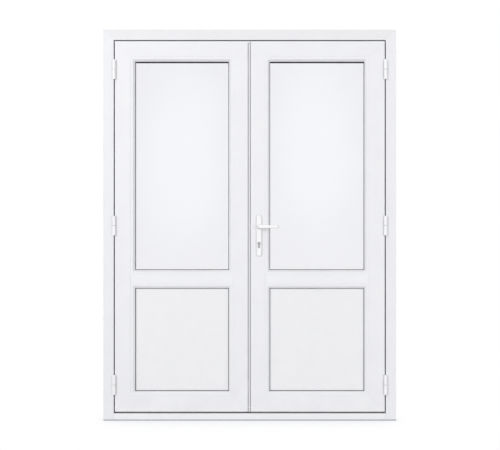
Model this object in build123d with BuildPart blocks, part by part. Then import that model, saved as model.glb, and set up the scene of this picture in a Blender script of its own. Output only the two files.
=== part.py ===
from build123d import *
from math import radians, tan
import os

os.makedirs("parts", exist_ok=True)

# Double door set in hollow white profile, seen from the side that it opens to.
# X runs right, Y runs away from the viewer, Z runs up, and Y is zero in the middle of the leaves.

# Overall size and running gaps
set_width = 1600.0
set_height = 2136.0
running_gap = 6.0
floor_gap = 9.0
meeting_gap = 14.6
meeting_mid = -2.9

# Outer frame profile
frame_face = 56.5
frame_depth = 70.0
threshold_rise = 39.5
stop_reach = 20.0
frame_steel_wide = 30.0
frame_steel_deep = 34.0
frame_steel_from_edge = 14.0

# Leaf profile
leaf_depth = 60.0
leaf_land = 44.0
leaf_step = 17.5
sash_face = 86.0
meeting_face = 80.0
transom_face = 51.0
transom_mid = 772.7
sash_steel_wide = 36.0
sash_steel_deep = 28.0
sash_steel_from_edge = 24.0
meeting_steel_wide = 36.0
transom_steel_wide = 24.0

# Walls of the hollow profiles
wall = 2.8
web = 1.6
edge_round = 1.5

# Steel sections
steel_sheet = 1.5
steel_clearance = 0.5
steel_corner_clearance = 10.0

# Weather seal in the stop
seal_gap = 4.0
seal_in = 13.0
seal_stem = 3.0
seal_bulb = 7.0
seal_clearance = 0.3

# Glazing and infill
lip_reach = 20.0
lip_thickness = 12.0
gasket = 3.0
pane = 4.0
cavity = 16.0
unit_edge_clearance = 5.0
spacer_wide = 10.0
packer_long = 100.0
packer_from_corner = 60.0
bead_wide = 24.0
bead_flat = 13.0
bead_set_back = 1.0
bead_slope_drop = 12.0
bead_wall = 1.6
bead_round = 3.0
bead_leg = 3.4
bead_leg_thick = 2.4
bead_leg_clearance = 0.3
bead_leg_from_front = 6.0
gasket_wide = 10.0
gasket_show = 3.0
lip_gasket_show = 2.0

# Hinges
hinge_from_leaf_bottom = 148.6
hinge_from_leaf_top = 155.8
middle_hinge_raise = 8.0
hinge_long = 107.0
barrel_radius = 9.0
barrel_stand = 10.0
barrel_round = 1.2
pin_radius = 4.0
pin_clearance = 0.05
pin_end_cover = 8.0
pin_chamfer = 0.5
washer_thick = 1.5
washer_play = 0.1
washer_radius = 8.2
flap_thick = 2.5
flap_back = 38.0
flap_screw_spacing = 38.0
flap_screw_from_front = 20.0
screw_radius = 2.0
screw_head_radius = 4.0
screw_long = 20.0
screw_clearance = 0.1
countersink_angle = 82.0

# Meeting strip on the passive leaf
rib_thick = 8.8
rib_from_active = 2.8
rib_recess = 2.5
strip_end_clearance = 0.3
cap_high = 12.0
cap_recess = 0.6
cap_deep = 18.0
cap_clearance = 2.4

# Flush bolts on the passive leaf
bolt_radius = 4.5
bolt_clearance = 0.1
bolt_in = 12.0
bolt_set_back = 8.0
bolt_long = 230.0
bolt_throw = 15.0
bolt_sunk = 0.6
bolt_throw_down = 17.0
bolt_chamfer = 0.75
thumb_wide = 6.0
thumb_high = 14.0
thumb_proud = 2.4
bolt_plate_wide = 16.0
bolt_plate_thick = 1.2
bolt_plate_high = 70.0
bolt_plate_from_end = 150.0
bolt_plate_round = 2.25
bolt_keep_wide = 22.0
bolt_keep_long = 32.0
bolt_keep_thick = 1.2

# Lock in the active leaf
handle_height = 1059.5
cylinder_below = 92.0
handle_in = 46.1
lock_set_back = 8.0
face_wide = 16.0
face_thick = 2.8
face_below_handle = 162.0
face_above_handle = 65.0
case_thick = 15.0
case_sheet = 1.5
case_end_in = 67.0
case_below_handle = 127.0
case_above_handle = 37.0
case_clearance = 0.4
latch_thick = 11.4
latch_high = 20.0
latch_proud = 11.0
latch_block_end_in = 17.0
latch_bevel = 7.0
aperture_clearance = 0.3
hook_offset = 4.5
hook_thick = 3.0
hook_rise = 14.5
hook_high = 4.5
tail_thick = 3.0
hub_radius = 12.0
arm_reach = 20.0
arm_wide = 4.0
arm_thick = 4.0
bolt_block_high = 28.0
bolt_block_above = 29.5
bolt_block_end_in = 40.0
keep_thick = 1.5
keep_recess = 1.4
keep_margin = 5.7
keep_below_handle = 99.0
keep_above_handle = 29.0

# Handle set
plate_wide = 28.0
plate_high = 225.0
plate_mid_below_handle = 48.0
plate_thick = 9.0
plate_wall = 2.0
plate_round = 2.5
plate_screw_spacing = 195.0
plate_screw_radius = 2.5
plate_screw_head = 4.5
plate_screw_clearance = 0.25
plate_screw_in_front_plate = 4.5
boss_radius = 5.5
spindle = 8.0
spindle_hole_radius = 8.0
spindle_past_plate = 18.0
neck_radius = 9.0
neck_clearance = 0.08
neck_collar = 4.0
neck_collar_radius = 11.5
lever_stand = 46.0
lever_long = 104.0
lever_wide = 18.5
lever_thick = 10.0
lever_round = 3.5
lever_bend = 14.0
lever_return = 12.0
lever_return_bend = 8.0

# Euro profile cylinder
cylinder_radius = 8.5
cylinder_drop = 24.5
cylinder_stem_wide = 10.0
cylinder_past_plate = 2.0
cylinder_clearance = 0.3
plug_radius = 6.5
plug_clearance = 0.05
cam_thick = 9.0
cam_play = 0.3
cam_radius = 8.2
cam_lug = 14.5
cam_lug_wide = 6.0
keyway_wide = 2.2
keyway_high = 8.0
keyway_deep = 22.0

# Fixing holes through the jambs
fixing_radius = 4.0
fixing_from_floor = 280.0
fixing_from_top = 300.0
fixing_spacing = 590.0
fixing_from_front = 43.0

# Depth positions worked out from the values above
front_y = -leaf_depth / 2
back_y = leaf_depth / 2
frame_back_y = front_y + frame_depth
land_y = front_y + leaf_land
stop_y = land_y + seal_gap
lip_y = back_y - lip_thickness
unit_depth = 2 * pane + cavity
unit_back_y = lip_y - gasket
unit_front_y = unit_back_y - unit_depth
bead_front_y = front_y + bead_set_back
bead_back_y = unit_front_y - gasket

# Outlines of the openings and leaves, each as left, right, bottom and top
opening = (-set_width / 2 + frame_face, set_width / 2 - frame_face, threshold_rise, set_height - frame_face)
leaf_low = threshold_rise + floor_gap
leaf_top = set_height - frame_face - running_gap
passive_edge = meeting_mid - meeting_gap / 2
active_edge = meeting_mid + meeting_gap / 2
leaf_boxes = {
    "passive": (opening[0] + running_gap, passive_edge, leaf_low, leaf_top),
    "active": (active_edge, opening[1] - running_gap, leaf_low, leaf_top),
}
low_hinge = leaf_low + hinge_from_leaf_bottom
high_hinge = leaf_top - hinge_from_leaf_top
hinge_heights = (low_hinge, (low_hinge + high_hinge) / 2 + middle_hinge_raise, high_hinge)
hinge_side = {"passive": "left", "active": "right"}
meeting_side = {"passive": "right", "active": "left"}
outward = {"passive": -1, "active": 1}

DEPTH = Vector(0, 1, 0)
UP = Vector(0, 0, 1)
SIDES = ("left", "top", "right", "bottom")
INWARD = {"left": Vector(1, 0, 0), "top": Vector(0, 0, -1), "right": Vector(-1, 0, 0), "bottom": Vector(0, 0, 1)}
even_widths = {side: 1.0 for side in SIDES}


# Shared builders
def corner(box, first, second):
    """Corner of a box where two of its sides meet."""
    x = box[0] if "left" in (first, second) else box[1]
    z = box[3] if "top" in (first, second) else box[2]
    return Vector(x, 0, z)


def neighbours(side):
    """Sides met at the start and the end of a side, clockwise."""
    place = SIDES.index(side)
    return SIDES[place - 1], SIDES[(place + 1) % len(SIDES)]


def shrink(box, widths):
    """Box left inside a box when each side takes its width."""
    return (box[0] + widths["left"], box[1] - widths["right"], box[2] + widths["bottom"], box[3] - widths["top"])


def bar(side, box, outline, rooms=(), widths=None, square=(), inset=0.0, rounds=(), radius=edge_round):
    """One side of a box as an extruded section.

    The outline holds points of distance in from the box's edge and depth. Both ends are mitred
    towards the neighbours' widths, except those in square.
    """
    before, after = neighbours(side)
    run = INWARD[side].cross(DEPTH)
    start = corner(box, before, side) + run * inset
    end = corner(box, side, after) - run * inset
    with BuildPart() as made:
        with BuildSketch(Plane(origin=start, x_dir=INWARD[side], z_dir=run)) as section:
            with BuildLine():
                Polyline(*outline, close=True)
            make_face()
            for spot in rounds:
                fillet(section.vertices().sort_by_distance((spot[0], spot[1], 0))[0], radius)
            for low_u, high_u, low_y, high_y in rooms:
                with Locations(((low_u + high_u) / 2, (low_y + high_y) / 2)):
                    Rectangle(high_u - low_u, high_y - low_y, mode=Mode.SUBTRACT)
        extrude(amount=(end - start).length)
        for place, neighbour, along in ((start, before, run), (end, after, run * -1)):
            if widths is None or neighbour in square:
                continue
            diagonal = INWARD[side] * widths[side] + INWARD[neighbour] * widths[neighbour]
            normal = diagonal.cross(DEPTH)
            if normal.dot(along) < 0:
                normal = normal * -1
            split(bisect_by=Plane(origin=place, x_dir=DEPTH, z_dir=normal), keep=Keep.TOP)
    return made.part


def ring(box, outline):
    """Closed ring of one section with mitred corners, as one solid."""
    with BuildPart() as made:
        for side in SIDES:
            add(bar(side, box, outline, widths=even_widths))
    return made.part


def drill(at, direction, radius, depth):
    """Cut a round hole in the part being built."""
    with BuildSketch(Plane(origin=at, z_dir=direction)) as mouth:
        Circle(radius)
    extrude(mouth.sketch, amount=depth, mode=Mode.SUBTRACT)


def block(x, y, z, mode=Mode.ADD):
    """Block between two limits on each axis, in the part being built."""
    with Locations(((x[0] + x[1]) / 2, (y[0] + y[1]) / 2, (z[0] + z[1]) / 2)):
        Box(abs(x[1] - x[0]), abs(y[1] - y[0]), abs(z[1] - z[0]), mode=mode)


def rod(at, direction, radius, length, mode=Mode.ADD):
    """Round rod from a point along a direction, in the part being built."""
    with Locations(Plane(origin=at, z_dir=direction)):
        Cylinder(radius, length, align=(Align.CENTER, Align.CENTER, Align.MIN), mode=mode)


def save(shape, name):
    """Label a finished piece and write it out."""
    shape.label = name
    export_step(shape, f"parts/{name}.step")


def group(pieces):
    """Separate solids kept together as one piece list."""
    return Compound([solid for piece in pieces for solid in piece.solids()])


# Sections of the hollow profiles
def rooms_around(face, steel, back_y_end, back_from=0.0, front_room_end=None):
    """Chambers of a box profile: a steel room, one each side of it, two in front and two behind."""
    low_u, high_u, low_y, high_y = steel
    middle = (low_u + high_u) / 2
    inner = face - wall
    front_end = front_room_end if front_room_end else inner
    front = (front_y + wall, low_y - web)
    back = (high_y + web, back_y_end - wall)
    return [
        (low_u, high_u, low_y, high_y),
        (wall, low_u - web, low_y, high_y),
        (high_u + web, inner, low_y, high_y),
        (wall, middle - web / 2, *front),
        (middle + web / 2, front_end, *front),
        (back_from + wall, middle - web / 2, *back),
        (middle + web / 2, inner, *back),
    ]


def frame_outline(face):
    """Frame section with its stop behind the leaf and the seal's groove."""
    groove = (face + seal_in, face + seal_in + seal_stem)
    return [
        (0, front_y),
        (face, front_y),
        (face, stop_y),
        (groove[0], stop_y),
        (groove[0], stop_y + seal_stem),
        (groove[1], stop_y + seal_stem),
        (groove[1], stop_y),
        (face + stop_reach, stop_y),
        (face + stop_reach, frame_back_y),
        (0, frame_back_y),
    ]


frame_steel_room = (
    frame_steel_from_edge,
    frame_steel_from_edge + frame_steel_wide,
    front_y + (frame_depth - frame_steel_deep) / 2,
    front_y + (frame_depth + frame_steel_deep) / 2,
)
stop_room_y = (stop_y + seal_stem + wall, frame_back_y - wall)
frame_rooms = rooms_around(frame_face, frame_steel_room, frame_back_y)
frame_rooms.append((frame_face, frame_face + stop_reach - wall, *stop_room_y))
threshold_rooms = [
    (wall, threshold_rise - wall, front_y + wall, -web / 2),
    (wall, threshold_rise - wall, web / 2, stop_y - web / 2),
    (wall, threshold_rise + stop_reach - wall, *stop_room_y),
]

sash_steel_y = (land_y - wall - sash_steel_deep, land_y - wall)


def leaf_outline(face):
    """Leaf section with its rear step, glazing lip and the beads' groove."""
    leg = (front_y + bead_leg_from_front, front_y + bead_leg_from_front + bead_leg_thick + 2 * bead_leg_clearance)
    root = face - bead_leg - bead_leg_clearance
    return [
        (0, front_y),
        (face, front_y),
        (face, leg[0]),
        (root, leg[0]),
        (root, leg[1]),
        (face, leg[1]),
        (face, lip_y),
        (face + lip_reach, lip_y),
        (face + lip_reach, back_y),
        (leaf_step, back_y),
        (leaf_step, land_y),
        (0, land_y),
    ]


def leaf_rooms(face, steel_wide):
    """Chambers of a leaf section."""
    steel = (sash_steel_from_edge, sash_steel_from_edge + steel_wide, *sash_steel_y)
    rooms = rooms_around(
        face, steel, back_y, back_from=leaf_step, front_room_end=face - bead_leg - bead_leg_clearance - web
    )
    rooms.append((face, face + lip_reach - wall, lip_y + wall, back_y - wall))
    return rooms


def steel_outline(room):
    """Open channel that fills a steel room with a clearance."""
    low_u, high_u = room[0] + steel_clearance, room[1] - steel_clearance
    low_y, high_y = room[2] + steel_clearance, room[3] - steel_clearance
    return [
        (low_u, low_y),
        (high_u, low_y),
        (high_u, high_y),
        (high_u - steel_sheet, high_y),
        (high_u - steel_sheet, low_y + steel_sheet),
        (low_u + steel_sheet, low_y + steel_sheet),
        (low_u + steel_sheet, high_y),
        (low_u, high_y),
    ]


# Places of the hinges
pivot_y = front_y - barrel_stand
flap_y = (front_y, front_y + flap_back)
flap_screw_y = front_y + flap_screw_from_front
flap_screw_offsets = (-flap_screw_spacing, 0.0, flap_screw_spacing)
countersink_high = (screw_head_radius - screw_radius) / tan(radians(countersink_angle / 2))


def pivot_x(leaf):
    """Across position of a leaf's hinge axis, in the middle of its running gap."""
    return outward[leaf] * (opening[1] - running_gap / 2)


def hinge_screw_spots(x):
    """Screw places of three hinges on one edge."""
    return [Vector(x, flap_screw_y, mid + offset) for mid in hinge_heights for offset in flap_screw_offsets]


# Frame members
frame_box = (-set_width / 2, set_width / 2, 0.0, set_height)
frame_widths = {side: frame_face for side in SIDES}
fixing_y = front_y + fixing_from_front
upper_fixing = set_height - fixing_from_top
fixing_heights = (fixing_from_floor, fixing_from_floor + fixing_spacing, upper_fixing - fixing_spacing, upper_fixing)
bolt_x = passive_edge - bolt_in
bolt_y = -bolt_set_back
bolt_hole = bolt_radius + bolt_clearance
frame_outline_points = frame_outline(frame_face)

for side in ("left", "right"):
    out = INWARD[side].X * -1
    edge = opening[1] * out
    with BuildPart() as jamb:
        add(
            bar(side, frame_box, frame_outline_points, frame_rooms, frame_widths, square=("bottom",),
                rounds=((frame_face, front_y),))
        )
        for height in fixing_heights:
            drill((edge, fixing_y, height), (out, 0, 0), fixing_radius, frame_face)
        for spot in hinge_screw_spots(edge):
            drill(spot, (out, 0, 0), screw_radius, screw_long - flap_thick)
        block((edge - out * seal_in, edge - out * stop_reach), (stop_y, stop_y + seal_stem),
              (opening[2] + seal_in, opening[2] + seal_in + seal_stem), mode=Mode.SUBTRACT)
    save(jamb.part, f"frame_jamb_{side}")

with BuildPart() as head:
    add(bar("top", frame_box, frame_outline_points, frame_rooms, frame_widths, rounds=((frame_face, front_y),)))
    drill((bolt_x, bolt_y, opening[3]), (0, 0, 1), bolt_hole, wall + bolt_throw)
save(head.part, "frame_head")

threshold_box = (opening[0], opening[1], 0.0, set_height)
with BuildPart() as threshold:
    add(bar("bottom", threshold_box, frame_outline(threshold_rise), threshold_rooms,
            rounds=((threshold_rise, front_y),)))
    for end, inner in ((opening[0], opening[0] + stop_reach), (opening[1] - stop_reach, opening[1])):
        block((end, inner), (stop_y, frame_back_y), (0, threshold_rise + stop_reach), mode=Mode.SUBTRACT)
    drill((bolt_x, bolt_y, threshold_rise), (0, 0, -1), bolt_hole, bolt_throw_down)
save(threshold.part, "frame_threshold")

# Steel channels inside the frame
steel_inset = frame_face + steel_corner_clearance
frame_steels = []
for side in ("left", "top", "right"):
    with BuildPart() as channel:
        add(bar(side, frame_box, steel_outline(frame_steel_room), inset=steel_inset))
        out = INWARD[side].X * -1
        if side != "top":
            for height in fixing_heights:
                drill((opening[1] * out, fixing_y, height), (out, 0, 0), fixing_radius, frame_face)
            for spot in hinge_screw_spots(opening[1] * out):
                drill(spot, (out, 0, 0), screw_radius, screw_long - flap_thick)
    frame_steels.append(channel.part)
save(group(frame_steels), "frame_steels")

# Weather seal round the stop, with its stem in the groove
seal_outline = [
    (seal_in, stop_y + seal_stem),
    (seal_in, stop_y),
    (seal_in + (seal_stem - seal_bulb) / 2, stop_y),
    (seal_in + (seal_stem - seal_bulb) / 2, land_y + seal_clearance),
    (seal_in + (seal_stem + seal_bulb) / 2, land_y + seal_clearance),
    (seal_in + (seal_stem + seal_bulb) / 2, stop_y),
    (seal_in + seal_stem, stop_y),
    (seal_in + seal_stem, stop_y + seal_stem),
]
save(ring(opening, seal_outline), "frame_seal")

# Keep plates of the two flush bolts, on the head and on the threshold
keeps = []
for height, up in ((opening[3], -1), (threshold_rise, 1)):
    with BuildPart() as keep:
        with BuildSketch(Plane(origin=(bolt_x, bolt_y, height), z_dir=(0, 0, up))):
            RectangleRounded(bolt_keep_long, bolt_keep_wide, bolt_plate_round)
            Circle(bolt_hole, mode=Mode.SUBTRACT)
        extrude(amount=bolt_keep_thick)
    keeps.append(keep.part)
save(group(keeps), "flush_bolt_keeps")


# Hinges: each half has one knuckle and one flap in the running gap
knuckle_gap = washer_thick / 2 + washer_play


def hinge_half(leaf, mid, on_leaf):
    """Half of a hinge: the upper knuckle and its flap ride on the leaf, the lower pair on the frame."""
    up = 1 if on_leaf else -1
    axis_x = pivot_x(leaf)
    seat = axis_x - outward[leaf] * running_gap / 2 * up
    face = seat + outward[leaf] * flap_thick * up
    near, far = mid + up * knuckle_gap, mid + up * hinge_long / 2
    with BuildPart() as half:
        rod((axis_x, pivot_y, near), (0, 0, up), barrel_radius, abs(far - near))
        fillet(half.edges().filter_by(GeomType.CIRCLE).sort_by(Axis.Z)[-1 if on_leaf else 0], barrel_round)
        block((seat, face), (pivot_y, front_y), (near, far))
        block((seat, face), flap_y, (mid - hinge_long / 2, mid + hinge_long / 2))
        rod((axis_x, pivot_y, near), (0, 0, up), pin_radius + pin_clearance,
            hinge_long / 2 - knuckle_gap - pin_end_cover, mode=Mode.SUBTRACT)
        for offset in flap_screw_offsets:
            with Locations(Plane(origin=(face, flap_screw_y, mid + offset), z_dir=(outward[leaf] * up, 0, 0))):
                CounterSinkHole(screw_radius + screw_clearance, screw_head_radius + screw_clearance,
                                depth=flap_thick, counter_sink_angle=countersink_angle)
    return half.part


def hinge_screws(leaf, mid, on_leaf):
    """Three countersunk screws of one hinge half."""
    up = 1 if on_leaf else -1
    face = pivot_x(leaf) - outward[leaf] * up * (running_gap / 2 - flap_thick)
    screws = []
    for offset in flap_screw_offsets:
        with BuildPart() as screw:
            with Locations(Plane(origin=(face, flap_screw_y, mid + offset), z_dir=(-outward[leaf] * up, 0, 0))):
                Cone(screw_head_radius, screw_radius, countersink_high,
                     align=(Align.CENTER, Align.CENTER, Align.MIN))
                Cylinder(screw_radius, screw_long, align=(Align.CENTER, Align.CENTER, Align.MIN))
        screws.append(screw.part)
    return screws


frame_halves, frame_screws, pins, washers = [], [], [], []
for leaf in leaf_boxes:
    for mid in hinge_heights:
        frame_halves.append(hinge_half(leaf, mid, on_leaf=False))
        frame_screws += hinge_screws(leaf, mid, on_leaf=False)
        pin_half = hinge_long / 2 - pin_end_cover - pin_clearance
        with BuildPart() as pin:
            rod((pivot_x(leaf), pivot_y, mid - pin_half), UP, pin_radius, 2 * pin_half)
            chamfer(pin.edges().filter_by(GeomType.CIRCLE), pin_chamfer)
        pins.append(pin.part)
        with BuildPart() as washer:
            rod((pivot_x(leaf), pivot_y, mid - washer_thick / 2), UP, washer_radius, washer_thick)
            rod((pivot_x(leaf), pivot_y, mid - washer_thick / 2), UP, pin_radius + pin_clearance, washer_thick,
                mode=Mode.SUBTRACT)
        washers.append(washer.part)
save(group(frame_halves), "hinge_frame_halves")
save(group(frame_screws), "hinge_frame_screws")
save(group(pins), "hinge_pins")
save(group(washers), "hinge_washers")

# Lock places that both leaves use
lock_y = (-lock_set_back - face_wide / 2, -lock_set_back + face_wide / 2)
case_y = (-lock_set_back - case_thick / 2, -lock_set_back + case_thick / 2)
bolt_block_y = (-lock_set_back - latch_thick / 2, -lock_set_back + latch_thick / 2)
handle_x = active_edge + handle_in
cylinder_z = handle_height - cylinder_below
latch_z = (handle_height - latch_high / 2, handle_height + latch_high / 2)
bolt_block_mid = cylinder_z + bolt_block_above
bolt_block_z = (bolt_block_mid - bolt_block_high / 2, bolt_block_mid + bolt_block_high / 2)
face_z = (handle_height - face_below_handle, handle_height + face_above_handle)
case_z = (handle_height - case_below_handle, handle_height + case_above_handle)
keep_z = (handle_height - keep_below_handle, handle_height + keep_above_handle)
plate_mid = handle_height - plate_mid_below_handle
plate_screw_heights = (plate_mid - plate_screw_spacing / 2, plate_mid + plate_screw_spacing / 2)
case_x = (active_edge + face_thick, active_edge + case_end_in)


def grown(span, clearance):
    """Span widened by a clearance at both ends."""
    return (min(span) - clearance, max(span) + clearance)


def lock_apertures(x, clearance):
    """Cut the openings for latch and dead bolt across a span of X."""
    block(x, grown(bolt_block_y, clearance), grown(latch_z, clearance), mode=Mode.SUBTRACT)
    block(x, grown(bolt_block_y, clearance), grown(bolt_block_z, clearance), mode=Mode.SUBTRACT)


def cylinder_profile(y, clearance, mode):
    """Euro profile between two depths: a round barrel over a flat stem."""
    rod((handle_x, y[0], cylinder_z), DEPTH, cylinder_radius + clearance, y[1] - y[0], mode=mode)
    half = cylinder_stem_wide / 2 + clearance
    block((handle_x - half, handle_x + half), y, (cylinder_z - cylinder_drop - clearance, cylinder_z), mode=mode)


def lock_cuts():
    """Milling for the lock, spindle, cylinder and plate screws in the active meeting stile."""
    block((active_edge, active_edge + face_thick), lock_y, face_z, mode=Mode.SUBTRACT)
    block((active_edge, case_x[1] + case_clearance), grown(case_y, case_clearance), grown(case_z, case_clearance),
          mode=Mode.SUBTRACT)
    drill((handle_x, front_y, handle_height), DEPTH, spindle_hole_radius, leaf_depth)
    cylinder_profile((front_y, back_y), cylinder_clearance, Mode.SUBTRACT)
    for height in plate_screw_heights:
        drill((handle_x, front_y, height), DEPTH, plate_screw_radius + plate_screw_clearance, leaf_depth)


def flush_bolt_places():
    """Upper and lower flush bolt: tip height, direction of throw and height of the plate's middle."""
    return (
        ("top", leaf_top - bolt_sunk, 1, leaf_top - bolt_plate_from_end),
        ("bottom", leaf_low + bolt_sunk, -1, leaf_low + bolt_plate_from_end),
    )


def flush_bolt_cuts(name, tip, up, middle):
    """Bore for a flush bolt's tip and slot for its thumb piece."""
    drill((bolt_x, bolt_y, tip + up * bolt_sunk), (0, 0, -up), bolt_hole, leaf_step)
    throw = bolt_throw if up > 0 else bolt_throw_down
    slot = sorted((middle - up * thumb_high / 2, middle + up * (thumb_high / 2 + throw)))
    half = thumb_wide / 2 + aperture_clearance
    block((passive_edge - wall, passive_edge), (bolt_y - half, bolt_y + half),
          grown(slot, aperture_clearance), mode=Mode.SUBTRACT)


# Leaves
for leaf, box in leaf_boxes.items():
    hinge_edge, meet_edge = hinge_side[leaf], meeting_side[leaf]
    widths = {hinge_edge: sash_face, meet_edge: meeting_face, "top": sash_face, "bottom": sash_face}
    inside = shrink(box, widths)
    bays = {
        "glass": (inside[0], inside[1], transom_mid + transom_face / 2, inside[3]),
        "panel": (inside[0], inside[1], inside[2], transom_mid - transom_face / 2),
    }
    member_names = {hinge_edge: "hinge_stile", meet_edge: "meeting_stile", "top": "top_rail", "bottom": "bottom_rail"}

    # Mitred members
    for side, name in member_names.items():
        face = widths[side]
        steel_wide = meeting_steel_wide if side == meet_edge else sash_steel_wide
        with BuildPart() as member:
            add(bar(side, box, leaf_outline(face), leaf_rooms(face, steel_wide), widths,
                    rounds=((face, front_y), (0, front_y))))
            if side == hinge_edge:
                edge = box[1] if leaf == "active" else box[0]
                for spot in hinge_screw_spots(edge):
                    drill(spot, (-outward[leaf], 0, 0), screw_radius, screw_long - flap_thick)
            if side in ("top", "bottom"):
                step_x = (box[0], box[0] + leaf_step) if leaf == "active" else (box[1] - leaf_step, box[1])
                block(step_x, (land_y, back_y), box[2:], mode=Mode.SUBTRACT)
            if side == meet_edge and leaf == "active":
                lock_cuts()
            if side != hinge_edge and leaf == "passive":
                for place in flush_bolt_places():
                    flush_bolt_cuts(*place)
            if side == meet_edge and leaf == "passive":
                block((passive_edge - wall, passive_edge), grown(bolt_block_y, aperture_clearance),
                      grown(bolt_block_z, aperture_clearance), mode=Mode.SUBTRACT)
        save(member.part, f"{leaf}_{name}")

    # Transom between the two bays, coped round the stiles' glazing lips
    half = transom_face / 2
    leg_y = (front_y + bead_leg_from_front, front_y + bead_leg_from_front + bead_leg_thick + 2 * bead_leg_clearance)
    root = half - bead_leg - bead_leg_clearance
    right_half = [
        (half, front_y),
        (half, leg_y[0]),
        (root, leg_y[0]),
        (root, leg_y[1]),
        (half, leg_y[1]),
        (half, lip_y),
        (half + lip_reach, lip_y),
        (half + lip_reach, back_y),
    ]
    transom_outline = [*right_half, *[(-u, y) for u, y in reversed(right_half)]]
    transom_steel_room = (-transom_steel_wide / 2, transom_steel_wide / 2, *sash_steel_y)
    transom_rooms = [
        transom_steel_room,
        (-root + web, root - web, front_y + wall, sash_steel_y[0] - web),
        (-half - lip_reach + wall, -web / 2, lip_y + wall, back_y - wall),
        (web / 2, half + lip_reach - wall, lip_y + wall, back_y - wall),
    ]
    with BuildPart() as transom:
        add(bar("bottom", (inside[0], inside[1], transom_mid, inside[3]), transom_outline, transom_rooms,
                rounds=((half, front_y), (-half, front_y))))
        for low, high in ((inside[0], inside[0] + lip_reach), (inside[1] - lip_reach, inside[1])):
            reach = half + lip_reach
            block((low, high), (lip_y, back_y), (transom_mid - reach, transom_mid + reach), mode=Mode.SUBTRACT)
    save(transom.part, f"{leaf}_transom")

    # Steel channels inside the members
    steels = []
    for side in SIDES:
        face = widths[side]
        steel_wide = meeting_steel_wide if side == meet_edge else sash_steel_wide
        room = (sash_steel_from_edge, sash_steel_from_edge + steel_wide, *sash_steel_y)
        with BuildPart() as channel:
            add(bar(side, box, steel_outline(room), inset=sash_face + steel_corner_clearance))
            if side == meet_edge and leaf == "active":
                lock_cuts()
        steels.append(channel.part)
    steels.append(bar("bottom", (inside[0], inside[1], transom_mid, inside[3]), steel_outline(transom_steel_room),
                      inset=steel_corner_clearance))
    save(group(steels), f"{leaf}_steels")

    # Sealed double glazing: two panes and their spacer
    unit = shrink(bays["glass"], {side: unit_edge_clearance for side in SIDES})
    for name, start_y in (("front", unit_front_y), ("back", unit_back_y - pane)):
        with BuildPart() as sheet:
            block(unit[:2], (start_y, start_y + pane), unit[2:])
        save(sheet.part, f"{leaf}_pane_{name}")
    spacer_hole = shrink(unit, {side: spacer_wide for side in SIDES})
    with BuildPart() as spacer:
        block(unit[:2], (unit_front_y + pane, unit_back_y - pane), unit[2:])
        block(spacer_hole[:2], (unit_front_y + pane, unit_back_y - pane), spacer_hole[2:], mode=Mode.SUBTRACT)
    save(spacer.part, f"{leaf}_pane_spacer")

    # Flat infill panel in the lower bay
    slab = shrink(bays["panel"], {side: unit_edge_clearance for side in SIDES})
    with BuildPart() as panel:
        block(slab[:2], (unit_front_y, unit_back_y), slab[2:])
    save(panel.part, f"{leaf}_lower_panel")

    # Glazing beads, mitred, with a leg that clips into the members' groove
    leg_low = leg_y[0] + bead_leg_clearance
    leg_high = leg_low + bead_leg_thick
    bead_outline = [
        (0, bead_front_y),
        (bead_flat, bead_front_y),
        (bead_wide, bead_front_y + bead_slope_drop),
        (bead_wide, bead_back_y),
        (0, bead_back_y),
        (0, leg_high),
        (-bead_leg, leg_high),
        (-bead_leg, leg_low),
        (0, leg_low),
    ]
    bead_room = (bead_wall, bead_flat - bead_wall, bead_front_y + bead_wall, bead_back_y - bead_wall)
    beads = [
        bar(side, bay, bead_outline, (bead_room,), even_widths, rounds=((bead_flat, bead_front_y),),
            radius=bead_round)
        for bay in bays.values()
        for side in SIDES
    ]
    save(group(beads), f"{leaf}_beads")

    # Gaskets on both faces of the glazing and of the panel
    def gasket_outline(reach, low_y):
        """Flat gasket strip up to a reach from the bay's edge."""
        start, high_y = reach - gasket_wide, low_y + gasket
        return [(start, low_y), (reach, low_y), (reach, high_y), (start, high_y)]

    gaskets = []
    for bay in bays.values():
        gaskets.append(ring(bay, gasket_outline(bead_wide + gasket_show, bead_back_y)))
        gaskets.append(ring(bay, gasket_outline(lip_reach + lip_gasket_show, unit_back_y)))
    save(group(gaskets), f"{leaf}_gaskets")

    # Packers that carry and centre the glazing and the panel
    packers = []
    for bay in bays.values():
        spans = []
        for start in (bay[0] + packer_from_corner, bay[1] - packer_from_corner - packer_long):
            spans.append(((start, start + packer_long), (bay[2], bay[2] + unit_edge_clearance)))
        for x in ((bay[0], bay[0] + unit_edge_clearance), (bay[1] - unit_edge_clearance, bay[1])):
            for start in (bay[2] + packer_from_corner, bay[3] - packer_from_corner - packer_long):
                spans.append((x, (start, start + packer_long)))
        for x, z in spans:
            with BuildPart() as packer:
                block(x, (unit_front_y, unit_back_y), z)
            packers.append(packer.part)
    save(group(packers), f"{leaf}_packers")

    # Leaf halves of the hinges and their screws
    save(group([hinge_half(leaf, mid, on_leaf=True) for mid in hinge_heights]), f"{leaf}_hinge_halves")
    leaf_screws = [screw for mid in hinge_heights for screw in hinge_screws(leaf, mid, on_leaf=True)]
    save(group(leaf_screws), f"{leaf}_hinge_screws")

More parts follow.
